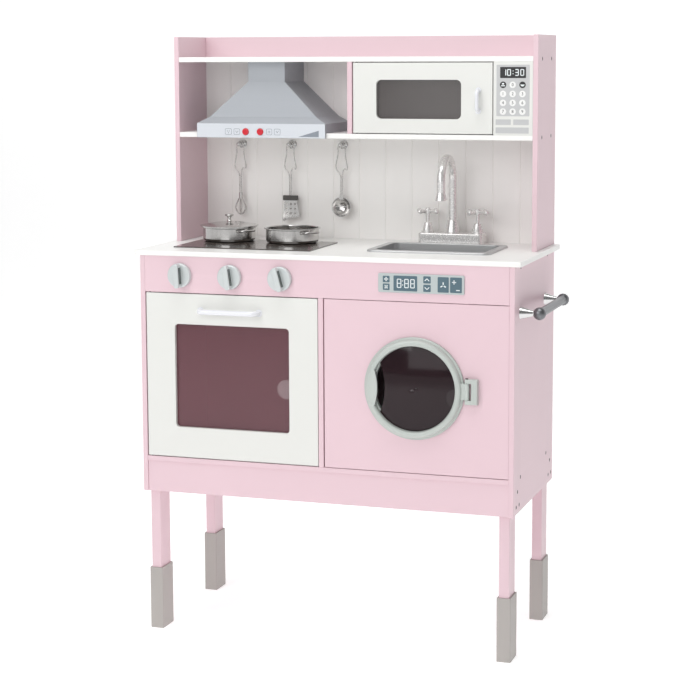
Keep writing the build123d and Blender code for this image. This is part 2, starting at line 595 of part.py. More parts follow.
with BuildPart() as hinge_pin:
    rod_z(PIVOT_X, PIVOT_Y, z0 - EAR_H - 0.6, z1 + EAR_H, HINGE_PIN_R)
    rod_z(PIVOT_X, PIVOT_Y, z1 + EAR_H, z1 + EAR_H + 1.2, 2.6)
keep(hinge_pin, "washer_hinge_pin")

# ---------------------------------------------------------------- legs and sleeves
LEG_FOOT = SLEEVE_H - SOCKET
leg_spots = {
    "leg_front_left": (-1, LEG_FRONT), "leg_front_right": (1, LEG_FRONT),
    "leg_back_left": (-1, LEG_BACK - LEG_Y), "leg_back_right": (1, LEG_BACK - LEG_Y),
}


def leg_cuts(b):
    screw_holes(base_screws)


for name, (s, y) in leg_spots.items():
    board(name, s * (INN - LEG_X), s * INN, y, y + LEG_Y, LEG_FOOT, PLINTH_TOP, 1.0, leg_cuts)

with BuildPart() as sleeves:
    for s, y in leg_spots.values():
        with BuildSketch(Plane.XY) as sk:
            with Locations((s * (INN - LEG_X / 2), y + LEG_Y / 2)):
                RectangleRounded(LEG_X + 2 * SLEEVE_WALL, LEG_Y + 2 * SLEEVE_WALL - 2.0, 2.0)
        extrude(amount=SLEEVE_H)
        block(
            s * (INN - LEG_X - 0.05), s * (INN + 0.05), y - 0.05, y + LEG_Y + 0.05,
            LEG_FOOT, SLEEVE_H + 1, Mode.SUBTRACT,
        )
    fillet(sleeves.faces().group_by(Axis.Z)[-1].edges(), 0.8)
keep(sleeves, "leg_sleeves")

# ---------------------------------------------------------------- towel rail
RAIL_X = OUT + RAIL_OUT
RAIL_Y = (SIDE_Y + 43.0, -75.0)
RAIL_AZ = COUNTER_H - 91.0
BAR_R, BALL_R, POST_R, POST_NECK = 7.6, 10.8, 11.0, 4.6
with BuildPart() as posts:
    for y in RAIL_Y:
        with Locations(Location((OUT + 11.0, y, RAIL_AZ), (0, 90, 0))):
            Cone(POST_R, POST_NECK, 22.0)
        rod_x(OUT + 21.9, RAIL_X - 4.0, y, RAIL_AZ, POST_NECK)
        with Locations((RAIL_X, y, RAIL_AZ)):
            Sphere(BALL_R + 0.02, mode=Mode.SUBTRACT)
keep(posts, "rail_posts")

with BuildPart() as rail:
    rod_y(RAIL_X, RAIL_AZ, RAIL_Y[0], RAIL_Y[1], BAR_R)
    for y in RAIL_Y:
        with Locations((RAIL_X, y, RAIL_AZ)):
            Sphere(BALL_R)
keep(rail, "towel_rail")

# ---------------------------------------------------------------- upper unit
def upper_cuts(b):
    screw_holes(upper_screws)


for name, s in (("upper_left_side", -1), ("upper_right_side", 1)):
    board(name, s * INN, s * OUT, -UPPER_D, 0, COUNTER_H, TOTAL_H, cuts=upper_cuts)

GROOVES = 13  # strips of the grooved back panel


def groove_cuts(b):
    pitch = 2 * INN / GROOVES
    for k in range(1, GROOVES):
        x = -INN + pitch * k
        with Locations(Location((x, BACK_Y, (COUNTER_H + SHELF1_Z) / 2), (0, 0, 45))):
            Box(1.5, 1.5, SHELF1_Z - COUNTER_H + 2, mode=Mode.SUBTRACT)


board(
    "upper_back", -INN, INN, BACK_Y, BACK_Y + BACK_T, COUNTER_H, SHELF1_Z, 0.4, groove_cuts
)
board("top_board", -INN, INN, BACK_Y, BACK_Y + BOARD, SHELF1_Z, TOTAL_H)


def shelf_cuts(b):
    screw_holes(upper_screws)
    for z0, z1 in ((SHELF2_Z + BOARD - PIN_OUT + 1, SHELF2_Z + BOARD + 1), (SHELF1_Z - 1, SHELF1_Z + PIN_OUT - 1)):
        rod_z(MW_PIN_X, MW_Y + BOARD_MID, z0, z1, PIN_R + RUN, Mode.SUBTRACT)


for name, z in (("shelf_lower", SHELF2_Z), ("shelf_upper", SHELF1_Z)):
    board(name, -INN, INN, -UPPER_D, BACK_Y, z, z + BOARD, cuts=shelf_cuts)
board("upper_divider", DIV_X0, DIV_X1, -UPPER_D, BACK_Y, SHELF2_Z + BOARD, SHELF1_Z)

# ---------------------------------------------------------------- cooker hood
HOOD_XC = LEFT_XC - 1.25
HOOD_W, NECK_W, CHIM_W = 247.0, 206.0, 71.0
HOOD_Z0 = SHELF2_Z + BOARD  # the hood stands on the lower shelf
LIP_Z, NECK_Z, CHIM_Z = SHELF2_Z + 26.0, SHELF2_Z + 37.0, SHELF2_Z + 100.0
PLATE_Y = -UPPER_D - 6.0
NECK_Y, CHIM_Y = PLATE_Y + 13.0, PLATE_Y + 33.0  # fronts of the neck and the chimney
SKIN = 2.4
BTN_X = (HOOD_XC - 28.5, HOOD_XC - 0.5)
BTN_R, BTN_TRAVEL = 6.3, 1.5
BTN_Z = SHELF2_Z + 11.0


def frustum(w0, y0, z0, w1, y1, z1, inset=0.0, mode=Mode.ADD):
    """A hood storey: a loft between two rectangles that share the back panel plane."""
    with BuildPart(mode=Mode.PRIVATE) as loftp:
        for w, y, z in ((w0, y0, z0), (w1, y1, z1)):
            with BuildSketch(Plane.XY.offset(z)):
                with Locations((HOOD_XC, (y + BACK_Y) / 2)):
                    Rectangle(w - 2 * inset, BACK_Y - y - 2 * inset)
        loft()
    add(loftp.part, mode=mode)


with BuildPart() as canopy:
    block(HOOD_XC - HOOD_W / 2, HOOD_XC + HOOD_W / 2, PLATE_Y, -UPPER_D - 1.0, SHELF2_Z, LIP_Z)
    block(HOOD_XC - HOOD_W / 2, HOOD_XC + HOOD_W / 2, -UPPER_D - 1.0, BACK_Y, HOOD_Z0, LIP_Z)
    frustum(HOOD_W, PLATE_Y + 1.0, LIP_Z, NECK_W, NECK_Y, NECK_Z)
    frustum(NECK_W, NECK_Y, NECK_Z, CHIM_W, CHIM_Y, CHIM_Z)
    block(
        HOOD_XC - HOOD_W / 2 + SKIN, HOOD_XC + HOOD_W / 2 - SKIN, -UPPER_D + 1.0, BACK_Y - SKIN,
        HOOD_Z0 - 1, LIP_Z - SKIN, Mode.SUBTRACT,
    )
    frustum(HOOD_W - 14, PLATE_Y + 10.0, LIP_Z - SKIN, NECK_W, NECK_Y, NECK_Z - SKIN, SKIN, Mode.SUBTRACT)
    frustum(NECK_W, NECK_Y, NECK_Z - SKIN, CHIM_W, CHIM_Y, CHIM_Z + 0.01, SKIN, Mode.SUBTRACT)
    for x in BTN_X:
        rod_y(x, BTN_Z, PLATE_Y - 1, PLATE_Y + 3.9, BTN_R + 0.1, Mode.SUBTRACT)
keep(canopy, "hood_canopy")

with BuildPart() as chimney:
    block(HOOD_XC - CHIM_W / 2, HOOD_XC + CHIM_W / 2, CHIM_Y, BACK_Y, CHIM_Z, SHELF1_Z)
    fillet(chimney.edges().filter_by(Axis.Z).group_by(Axis.Y)[0], 1.0)
    block(
        HOOD_XC - CHIM_W / 2 + SKIN, HOOD_XC + CHIM_W / 2 - SKIN, CHIM_Y + SKIN, BACK_Y - SKIN,
        CHIM_Z, SHELF1_Z, Mode.SUBTRACT,
    )
keep(chimney, "hood_chimney")

for name, x in zip(("hood_button_left", "hood_button_right"), BTN_X):
    with BuildPart() as button:
        rod_y(x, BTN_Z, PLATE_Y - 2.2, PLATE_Y + 2.0, BTN_R)
        fillet(button.faces().sort_by(Axis.Y)[0].edges(), 1.6)
    keep(button, name)

# ---------------------------------------------------------------- hooks and utensils
HOOK_X = (LEFT_XC - 88.75, LEFT_XC + 11.25, LEFT_XC + 112.25)
HOOK_Z = COUNTER_H + 175.0
PEG_R, WIRE_R = 2.5, 1.1
HANG_Y = BACK_Y - 13.0
with BuildPart() as hooks:
    for x in HOOK_X:
        rod_y(x, HOOK_Z, BACK_Y - 2.0, BACK_Y, 8.6)
        with Locations(Location((x, BACK_Y - 3.5, HOOK_Z), (90, 0, 0))):
            Cone(7.4, 4.0, 3.2)
        rod_y(x, HOOK_Z, BACK_Y - 20.0, BACK_Y - 1.0, PEG_R)
        with Locations((x, BACK_Y - 21.5, HOOK_Z)):
            Sphere(4.3)
keep(hooks, "utensil_hooks")

STEM_LOW = HOOK_Z - 98.0  # where the wire stem meets the tool


def wire_handle(x, low):
    """The doubled wire: up one side, round the hook and down again."""
    top = HOOK_Z + PEG_R + SLIP + WIRE_R + 0.1
    with BuildLine() as path:
        Polyline((x - 1.7, HANG_Y, low), (x - 1.7, HANG_Y, HOOK_Z - 62.0))
        Spline(
            (x - 1.7, HANG_Y, HOOK_Z - 62.0), (x - 9.8, HANG_Y, HOOK_Z - 46.0),
            (x - 7.0, HANG_Y, HOOK_Z - 16.0), (x - 5.0, HANG_Y, HOOK_Z), (x, HANG_Y, top),
            (x + 5.0, HANG_Y, HOOK_Z), (x + 7.0, HANG_Y, HOOK_Z - 16.0),
            (x + 9.8, HANG_Y, HOOK_Z - 46.0), (x + 1.7, HANG_Y, HOOK_Z - 62.0),
            tangents=((0, 0, 1), (0, 0, -1)),
        )
        Polyline((x + 1.7, HANG_Y, HOOK_Z - 62.0), (x + 1.7, HANG_Y, low))
    w = path.wires()[0]
    with BuildSketch(Plane(origin=w @ 0, z_dir=w % 0)) as sk:
        Circle(WIRE_R)
    sweep(sk.sketch, path=w)


with BuildPart() as whisk:
    x = HOOK_X[0]
    wire_handle(x, STEM_LOW - 2)
    rod_z(x, HANG_Y, STEM_LOW - 4.0, STEM_LOW + 6.0, 3.6)
    for a, low in ((0, -35.0), (60, -34.1), (120, -33.2)):
        ca, sa = math.cos(math.radians(a)), math.sin(math.radians(a))
        half = ((2.3, -2), (8.5, -14), (10.5, -24))
        outline = [(-u, v) for u, v in half] + [(0, low)] + [(u, v) for u, v in reversed(half)]
        with BuildLine() as loop:
            Spline(*[(x + ca * u, HANG_Y + sa * u, STEM_LOW + v) for u, v in outline])
        w = loop.wires()[0]
        with BuildSketch(Plane(origin=w @ 0, z_dir=w % 0)) as sk:
            Circle(0.8)
        sweep(path=w)
keep(whisk, "whisk")

with BuildPart() as turner:
    x = HOOK_X[1]
    wire_handle(x, STEM_LOW - 2)
    with BuildSketch(Plane(origin=(x, HANG_Y, STEM_LOW), x_dir=(1, 0, 0), z_dir=(0, -1, 0))) as sk:
        with Locations((0, -2.5)):
            RectangleRounded(29.0, 9.0, 1.5)
    extrude(amount=2.0, both=True)
    with BuildSketch(Plane(origin=(x, HANG_Y, STEM_LOW), x_dir=(1, 0, 0), z_dir=(0, -1, 0))) as sk:
        with BuildLine():
            Polyline((-12, -5), (12, -5), (18, -36), (-16, -46), (-12, -5))
        make_face()
        fillet(sk.vertices(), 1.5)
        with Locations((0.5, -22)):
            with GridLocations(8.5, 8.5, 3, 3):
                Circle(1.9, mode=Mode.SUBTRACT)
    extrude(amount=0.6, both=True)
keep(turner, "turner")

LADLE_R, LADLE_D = 18.5, 12.0
with BuildPart() as ladle:
    x = HOOK_X[2]
    zc = STEM_LOW - LADLE_R + 2.0
    rim = HANG_Y - 4.0
    with BuildSketch(Plane.XY.offset(zc)) as sk:
        with BuildLine():
            a, h = LADLE_R, LADLE_D
            ThreePointArc((x, rim + h), (x + a / 2, rim + h - cap_drop(a, h)), (x + a, rim))
            a, h = LADLE_R - 1.2, LADLE_D - 1.2
            Line((x + LADLE_R, rim), (x + a, rim))
            ThreePointArc((x + a, rim), (x + a / 2, rim + h - cap_drop(a, h)), (x, rim + h))
            Line((x, rim + h), (x, rim + LADLE_D))
        make_face()
    revolve(axis=Axis((x, 0, zc), (0, 1, 0)))
    wire_handle(x, STEM_LOW + 2.0)
    block(x - 4.0, x + 4.0, HANG_Y - 1.6, HANG_Y + 1.2, STEM_LOW - 3.0, STEM_LOW + 6.0)
    block(x - 4.0, x + 4.0, rim - 0.6, HANG_Y, STEM_LOW - 1.0, STEM_LOW + 2.2)
keep(ladle, "ladle")

# ---------------------------------------------------------------- pots
POT_Y = HOB_YC + 50.0
POT_Z = COUNTER_H + HOB_T + 0.1
POT_R, POT_RIM, POT_H, POT_T = 48.5, 51.5, 27.0, 1.2
POT_TURN = -35.0  # the two handles lie on this line
HANDLE_OUT, HANDLE_W, HANDLE_R = 17.0, 34.0, 1.7
POT_IN, POT_PITCH = 58.0, 123.0  # left pot from the hob plate's edge, and the next one
pot_x = {"pot_left": HOB_X0 + POT_IN, "pot_right": HOB_X0 + POT_IN + POT_PITCH}


def pot_shell(x):
    with BuildSketch(Plane.XZ.offset(-POT_Y)) as sk:
        with BuildLine():
            Polyline(
                (x, POT_Z), (x + POT_R - 6, POT_Z), (x + POT_R - 2, POT_Z + 1.6), (x + POT_R, POT_Z + 5.5),
                (x + POT_R, POT_Z + POT_H - 2.6), (x + POT_RIM, POT_Z + POT_H - 1.4),
                (x + POT_RIM, POT_Z + POT_H), (x + POT_R - 0.4, POT_Z + POT_H),
                (x + POT_R - POT_T, POT_Z + POT_H - 1.6), (x + POT_R - POT_T, POT_Z + 6.2),
                (x + POT_R - 3, POT_Z + 2.6), (x + POT_R - 6.4, POT_Z + POT_T), (x, POT_Z + POT_T),
                close=True,
            )
        make_face()
    revolve(sk.sketch, axis=Axis((x, POT_Y, 0), (0, 0, 1)))


def pot_handles(x):
    for turn in (POT_TURN, POT_TURN + 180):
        c, s = math.cos(math.radians(turn)), math.sin(math.radians(turn))
        zh = POT_Z + POT_H - 8.0
        foot = HANDLE_W / 2 - 3
        wall = math.sqrt((POT_R - 0.7) ** 2 - foot**2)
        pts = [(wall, -foot), (POT_R + HANDLE_OUT, -HANDLE_W / 2),
               (POT_R + HANDLE_OUT, HANDLE_W / 2), (wall, foot)]
        lift = (0.0, 3.0, 3.0, 0.0)
        with BuildLine() as path:
            FilletPolyline(
                *[(x + u * c - v * s, POT_Y + u * s + v * c, zh + h) for (u, v), h in zip(pts, lift)],
                radius=8.0,
            )
        w = path.wires()[0]
        with BuildSketch(Plane(origin=w @ 0, z_dir=w % 0)) as sk:
            Circle(HANDLE_R)
        sweep(sk.sketch, path=w)


def pot_inside(x):
    rod_z(x, POT_Y, POT_Z + 6.2, POT_Z + POT_H - 1.7, POT_R - POT_T, Mode.SUBTRACT)


for name, x in pot_x.items():
    with BuildPart() as pot:
        pot_shell(x)
        pot_handles(x)
        pot_inside(x)
    keep(pot, name)

LID_R, LID_H, LID_T = 53.5, 8.0, 1.2
with BuildPart() as lid:
    x = pot_x["pot_left"]
    z = POT_Z + POT_H + SLIP
    with BuildSketch(Plane.XZ.offset(-POT_Y)) as sk:
        with BuildLine():
            a, h = LID_R - 3, LID_H - 1.4
            ThreePointArc((x, z + LID_H), (x + a / 2, z + LID_H - cap_drop(a, h)), (x + a, z + 1.4))
            Line((x + a, z + 1.4), (x + LID_R, z + 1.4))
            Line((x + LID_R, z + 1.4), (x + LID_R, z))
            a, h = LID_R - 5, LID_H - LID_T
            Line((x + LID_R, z), (x + a, z))
            ThreePointArc((x + a, z), (x + a / 2, z + h - cap_drop(a, h)), (x, z + h))
            Line((x, z + LID_H - LID_T), (x, z + LID_H))
        make_face()
    revolve(axis=Axis((x, POT_Y, 0), (0, 0, 1)))
    zk = z + LID_H - 0.4
    with BuildSketch(Plane.XZ.offset(-POT_Y)) as sk:
        with BuildLine():
            Line((x, zk), (x + 6.0, zk))
            ThreePointArc((x + 6.0, zk), (x + 3.2, zk + 5.5), (x + 7.0, zk + 10.5))
            ThreePointArc((x + 7.0, zk + 10.5), (x + 8.2, zk + 12.2), (x + 6.4, zk + 13.6))
            ThreePointArc((x + 6.4, zk + 13.6), (x + 3.2, zk + 14.5 - cap_drop(6.4, 0.9)), (x, zk + 14.5))
            Line((x, zk + 14.5), (x, zk))
        make_face()
    revolve(axis=Axis((x, POT_Y, 0), (0, 0, 1)))
keep(lid, "pot_lid")

# ---------------------------------------------------------------- frame and export
PROUD = max(0.6 + GRIP_OUT, OVEN_GRIP_OUT + 4.6, 13.4)  # furthest piece before the panels' front
X_LOW, X_HIGH = -HALF, RAIL_X + BALL_R
Y_LOW, Y_HIGH = SIDE_Y - PROUD, 0.0
to_frame = Location((-(X_LOW + X_HIGH) / 2, -(Y_LOW + Y_HIGH) / 2, 0))

os.makedirs("parts", exist_ok=True)
for label, part in parts.items():
    moved = to_frame * part
    moved.label = label
    export_step(moved, f"parts/{label}.step")
print("offset", to_frame.position, "parts", len(parts))
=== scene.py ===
"""Looks of the toy kitchen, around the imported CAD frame. Metres, row frame."""

import math

import bmesh
import bpy
from mathutils import Matrix, Vector


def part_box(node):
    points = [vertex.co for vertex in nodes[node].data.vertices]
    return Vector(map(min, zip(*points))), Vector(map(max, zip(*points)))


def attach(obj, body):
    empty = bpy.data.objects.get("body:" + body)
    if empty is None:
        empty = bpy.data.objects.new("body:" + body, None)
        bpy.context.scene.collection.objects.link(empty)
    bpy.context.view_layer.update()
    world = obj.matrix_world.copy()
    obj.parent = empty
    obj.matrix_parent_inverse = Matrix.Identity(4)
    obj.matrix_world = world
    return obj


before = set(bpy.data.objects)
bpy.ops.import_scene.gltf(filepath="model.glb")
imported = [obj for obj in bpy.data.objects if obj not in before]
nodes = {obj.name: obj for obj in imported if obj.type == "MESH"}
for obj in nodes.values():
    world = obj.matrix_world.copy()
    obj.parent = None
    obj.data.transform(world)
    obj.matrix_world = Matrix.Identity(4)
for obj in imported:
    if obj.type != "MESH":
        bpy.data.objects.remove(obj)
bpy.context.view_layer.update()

# ------------------------------------------------------------------ positions
TOP_LO, TOP_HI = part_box("worktop")
MID_X, REAR_Y = (TOP_LO.x + TOP_HI.x) / 2, TOP_HI.y
MM = 0.001


def at(x, y, z):
    """Millimetres from the middle of the worktop's rear edge, floor up, to the row frame."""
    return Vector((MID_X + x * MM, REAR_Y + y * MM, z * MM))


# ------------------------------------------------------------------ materials
def new_material(name):
    m = bpy.data.materials.new(name)
    m.use_nodes = True
    shader = m.node_tree.nodes["Principled BSDF"]
    return m, m.node_tree, shader


def noise(tree, coord, scale, detail=3.0, stretch=None):
    n = tree.nodes.new("ShaderNodeTexNoise")
    n.inputs["Scale"].default_value = scale
    n.inputs["Detail"].default_value = detail
    src = coord
    if stretch:
        mp = tree.nodes.new("ShaderNodeMapping")
        mp.inputs["Scale"].default_value = stretch
        tree.links.new(coord, mp.inputs["Vector"])
        src = mp.outputs["Vector"]
    tree.links.new(src, n.inputs["Vector"])
    return n.outputs["Fac"]


def spread(tree, value, low, high):
    r = tree.nodes.new("ShaderNodeMapRange")
    r.inputs["From Min"].default_value = 0.3
    r.inputs["From Max"].default_value = 0.7
    r.inputs["To Min"].default_value = low
    r.inputs["To Max"].default_value = high
    tree.links.new(value, r.inputs["Value"])
    return r.outputs["Result"]


def shade(col, k):
    return tuple(min(1.0, c * k) for c in col) + (1.0,)


def mix(tree, fac, a, b):
    m = tree.nodes.new("ShaderNodeMix")
    m.data_type = "RGBA"
    tree.links.new(fac, m.inputs["Factor"])
    for sock, v in ((m.inputs[6], a), (m.inputs[7], b)):
        if isinstance(v, tuple):
            sock.default_value = v
        else:
            tree.links.new(v, sock)
    return m.outputs[2]


def finish(name, col, rough, metal=0.0, coat=0.0, vary=0.03, blot=9.0, grain=700.0, bump=0.04,
           depth=0.0002, edge=0.0, stretch=None, rough_vary=0.05, alpha=1.0, ior=None, spec=None):
    """One procedural finish: colour drift, surface grain, uneven gloss and colour lighter on sharp
    edges.
    """
    m, t, s = new_material(name)
    coord = t.nodes.new("ShaderNodeTexCoord").outputs["Object"]
    drift = noise(t, coord, blot, 4.0)
    colour = mix(t, drift, shade(col, 1 - vary), shade(col, 1 + vary))
    # colour made lighter towards convex edges, by Pointiness
    if edge:
        geo = t.nodes.new("ShaderNodeNewGeometry")
        r = t.nodes.new("ShaderNodeMapRange")
        r.inputs["From Min"].default_value = 0.53
        r.inputs["From Max"].default_value = 0.62
        r.inputs["To Max"].default_value = edge
        t.links.new(geo.outputs["Pointiness"], r.inputs["Value"])
        colour = mix(t, r.outputs["Result"], colour, shade(col, 1.18))
    t.links.new(colour, s.inputs["Base Color"])
    fine = noise(t, coord, grain, 2.0, stretch)
    t.links.new(spread(t, fine, rough - rough_vary, rough + rough_vary), s.inputs["Roughness"])
    b = t.nodes.new("ShaderNodeBump")
    b.inputs["Strength"].default_value = bump
    b.inputs["Distance"].default_value = depth
    t.links.new(fine, b.inputs["Height"])
    t.links.new(b.outputs["Normal"], s.inputs["Normal"])
    s.inputs["Metallic"].default_value = metal
    s.inputs["Coat Weight"].default_value = coat
    s.inputs["Coat Roughness"].default_value = 0.12
    s.inputs["Alpha"].default_value = alpha
    if ior:
        s.inputs["IOR"].default_value = ior
    if spec is not None:
        s.inputs["Specular IOR Level"].default_value = spec
    if alpha < 1:
        m.surface_render_method = "BLENDED"
    return m


ALONG_X, ALONG_Y = (0.02, 1.0, 1.0), (1.0, 0.02, 1.0)
MAT = {
    "pink": finish("pink_lacquer", (0.735, 0.545, 0.595), 0.42, vary=0.015, coat=0.10, edge=0.25),
    # painted shade: the white of the doors, microwave panel and base back is set darker than the
    # worktop's white of the same paint, for the stronger light on the fronts
    "white": finish("white_lacquer_painted_shade", (0.745, 0.75, 0.72), 0.38, vary=0.012, coat=0.12, edge=0.1),
    "top_white": finish("worktop_lacquer", (0.90, 0.895, 0.875), 0.38, vary=0.012, coat=0.12, edge=0.1),
    "grooved": finish("grooved_lacquer", (0.95, 0.93, 0.91), 0.45, vary=0.02, edge=0.1),
    "sleeve": finish("sleeve_plastic", (0.42, 0.395, 0.375), 0.48, vary=0.03, grain=1500.0, bump=0.10,
                     edge=0.3),
    "knob": finish("knob_plastic", (0.62, 0.66, 0.66), 0.34, metal=0.25, vary=0.03, edge=0.4),
    "rib": finish("knob_rib", (0.045, 0.062, 0.056), 0.45, vary=0.1, grain=1800.0),
    "ring": finish("ring_plastic", (0.50, 0.54, 0.51), 0.36, metal=0.1, vary=0.03, edge=0.4),
    "smoke": finish("smoked_pane", (0.020, 0.009, 0.012), 0.09, coat=0.1, vary=0.2, blot=14.0,
                    bump=0.01, rough_vary=0.02, alpha=0.88, ior=1.36),
    "tint": finish("tinted_pane", (0.17, 0.062, 0.078), 0.12, coat=0.1, vary=0.12, blot=6.0,
                   bump=0.01, rough_vary=0.02, alpha=0.66),
    # grey tint of the microwave pane, lightened all over: part the pane's own tint, part painted
    # reflection
    "grey_tint": finish("grey_pane_painted_reflection", (0.12, 0.107, 0.105), 0.12, coat=0.1, vary=0.12, blot=6.0,
                        bump=0.01, rough_vary=0.02, alpha=0.70),
    "handle": finish("handle_gloss", (0.80, 0.81, 0.85), 0.20, vary=0.02, coat=0.5, edge=0.3),
    "plate": finish("display_grey", (0.48, 0.53, 0.53), 0.42, vary=0.03, grain=1600.0),
    "slate": finish("slate_tile", (0.085, 0.145, 0.18), 0.38, vary=0.06, grain=1600.0),
    "print": finish("white_print", (0.80, 0.85, 0.86), 0.5, vary=0.03, grain=2000.0),
    "black": finish("black_print", (0.014, 0.014, 0.015), 0.35, vary=0.2, grain=2000.0),
    "panel_grey": finish("panel_grey", (0.53, 0.535, 0.54), 0.45, vary=0.03, grain=2000.0),
    "key": finish("key_white", (0.83, 0.83, 0.82), 0.36, vary=0.02, grain=2000.0),
    # dark hob glass, its colour lightened and warmed: part its own tone, part painted reflection
    "hob": finish("hob_gloss_painted_reflection", (0.048, 0.037, 0.031), 0.19, coat=0.5, vary=0.15, grain=900.0),
    "ink": finish("hob_ink", (0.36, 0.31, 0.29), 0.35, vary=0.1, grain=2000.0),
    "sink": finish("sink_silver", (0.50, 0.505, 0.51), 0.34, metal=0.6, vary=0.03, grain=160.0,
                   stretch=ALONG_X, bump=0.03),
    "tap": finish("tap_silver", (0.86, 0.85, 0.84), 0.24, metal=0.7, vary=0.03, bump=0.015, edge=0.2),
    "hood": finish("hood_silver", (0.385, 0.405, 0.435), 0.48, metal=0.15, vary=0.02, grain=140.0,
                   stretch=ALONG_X, bump=0.02),
    "hood_plate": finish("hood_plate", (0.68, 0.71, 0.755), 0.34, metal=0.1, vary=0.02),
    "hood_print": finish("hood_print", (0.25, 0.28, 0.32), 0.45, vary=0.03, grain=2000.0),
    "red": finish("red_gloss", (0.62, 0.015, 0.03), 0.18, coat=0.6, vary=0.05),
    "steel": finish("pan_steel", (0.62, 0.61, 0.60), 0.17, metal=1.0, vary=0.04, grain=120.0,
                    stretch=(1.0, 1.0, 0.02), bump=0.012, rough_vary=0.05),
    "dark_steel": finish("dark_steel", (0.09, 0.085, 0.08), 0.35, metal=0.4, vary=0.1),
    "chrome": finish("plated", (0.66, 0.66, 0.66), 0.12, metal=1.0, vary=0.04, bump=0.01,
                     rough_vary=0.04),
    "rail": finish("rail_satin", (0.19, 0.195, 0.205), 0.36, metal=0.85, vary=0.03, grain=180.0,
                   stretch=ALONG_Y, bump=0.03),
    "screw": finish("screw_zinc", (0.07, 0.05, 0.055), 0.45, metal=0.35, vary=0.1),
    "catch": finish("catch_plastic", (0.75, 0.75, 0.72), 0.45, vary=0.03, bump=0.08),
}
LOOK = {
    "pink": ("base_left_side base_right_side base_divider base_bottom top_rails control_fascia plinth "
             "washer_front leg_front_left leg_front_right leg_back_left leg_back_right "
             "upper_left_side upper_right_side top_board upper_divider"),
    "white": "oven_door microwave_door microwave_panel base_back",
    "top_white": "worktop shelf_upper shelf_lower",
    "grooved": "upper_back",
    "sleeve": "leg_sleeves",
    "knob": "hob_knob_1 hob_knob_2 hob_knob_3",
    "ring": "washer_ring washer_hinge",
    "smoke": "washer_window",
    "tint": "oven_window",
    "grey_tint": "microwave_window",
    "handle": "oven_handle microwave_handle",
    "plate": "display_plate",
    "hob": "hob_plate",
    "sink": "sink_basin",
    "tap": "tap_block tap_spout tap_handle_left tap_handle_right",
    "hood": "hood_chimney hood_canopy",
    "red": "hood_button_left hood_button_right",
    "steel": "whisk turner ladle pot_left pot_lid pot_right",
    "chrome": "utensil_hooks rail_posts",
    "rail": "towel_rail",
    "screw": "panel_screws oven_pins microwave_pins washer_hinge_pin",
    "catch": "door_catches",
}
painted = {}
for key, names in LOOK.items():
    for name in names.split():
        data = nodes[name].data
        data.materials.clear()
        data.materials.append(MAT[key])
        painted[name] = key
unpainted = sorted(set(nodes) - set(painted))
if unpainted:
    raise SystemExit(f"nodes with no finish: {unpainted}")


# ------------------------------------------------------------------ mesh pieces
def piece(name, bm, key, body, bevel=0.0):
    me = bpy.data.meshes.new(name)
    bmesh.ops.recalc_face_normals(bm, faces=bm.faces[:])
    bm.to_mesh(me)
    bm.free()
    ob = bpy.data.objects.new(name, me)
    bpy.context.scene.collection.objects.link(ob)
    me.materials.append(MAT[key])
    if bevel:
        mod = ob.modifiers.new("ease", "BEVEL")
        mod.width, mod.segments, mod.limit_method = bevel, 2, "ANGLE"
    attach(ob, body)
    return ob


def prism(bm, outline, y0, y1):
    """A flat plate facing the front: outline is (x, z) in mm, anticlockwise, y0 is the face."""
    front = [bm.verts.new(at(x, y0, z)) for x, z in outline]
    back = [bm.verts.new(at(x, y1, z)) for x, z in outline]
    bm.faces.new(front)
    bm.faces.new(back[::-1])
    for i in range(len(outline)):
        j = (i + 1) % len(outline)
        bm.faces.new((front[i], back[i], back[j], front[j]))


def ring_prism(bm, outer, inner, place):
    """A flat ring between two loops; place(u, v, h) gives the point, h 0 is the face and 1 the back."""
    loops = [[bm.verts.new(place(u, v, h)) for u, v in lp] for lp in (outer, inner) for h in (0, 1)]
    of, ob_, nf, nb = loops
    n = len(outer)
    for i in range(n):
        j = (i + 1) % n
        for a, b in ((of, nf), (nf, nb), (nb, ob_), (ob_, of)):
            bm.faces.new((a[i], a[j], b[j], b[i]))


def rounded(x0, x1, z0, z1, r, steps=5):
    pts = []
    for cx, cz, start in ((x1 - r, z0 + r, -90), (x1 - r, z1 - r, 0), (x0 + r, z1 - r, 90),
                          (x0 + r, z0 + r, 180)):
        for k in range(steps + 1):
            a = math.radians(start + 90 * k / steps)
            pts.append((cx + r * math.cos(a), cz + r * math.sin(a)))
    return pts


def circle(x, z, r, n=36):
    return [(x + r * math.cos(2 * math.pi * k / n), z + r * math.sin(2 * math.pi * k / n))
            for k in range(n)]


def stroke(x0, z0, x1, z1, w):
    """The outline of a straight printed line."""
    dx, dz = x1 - x0, z1 - z0
    d = math.hypot(dx, dz)
    nx, nz = -dz / d * w / 2, dx / d * w / 2
    return [(x0 + nx, z0 + nz), (x0 - nx, z0 - nz), (x1 - nx, z1 - nz), (x1 + nx, z1 + nz)]


SEGMENTS = {"0": "abcdef", "1": "bc", "3": "abcdg", "8": "abcdefg"}


def seven(bm, char, x, z, w, h, t, y0, y1):
    """A seven-segment numeral with its lower left corner at x, z."""
    m = z + h / 2
    lines = {"a": (x, z + h, x + w, z + h), "b": (x + w, m, x + w, z + h), "c": (x + w, z, x + w, m),
             "d": (x, z, x + w, z), "e": (x, z, x, m), "f": (x, m, x, z + h), "g": (x, m, x + w, m)}
    for s in SEGMENTS[char]:
        a, b, c, d = lines[s]
        prism(bm, stroke(a, b, c, d, t), y0, y1)


def plates(name, key, body, shapes, y0, y1, bevel=0.0):
    bm = bmesh.new()
    for s in shapes:
        prism(bm, s, y0, y1)
    return piece(name, bm, key, body, bevel)


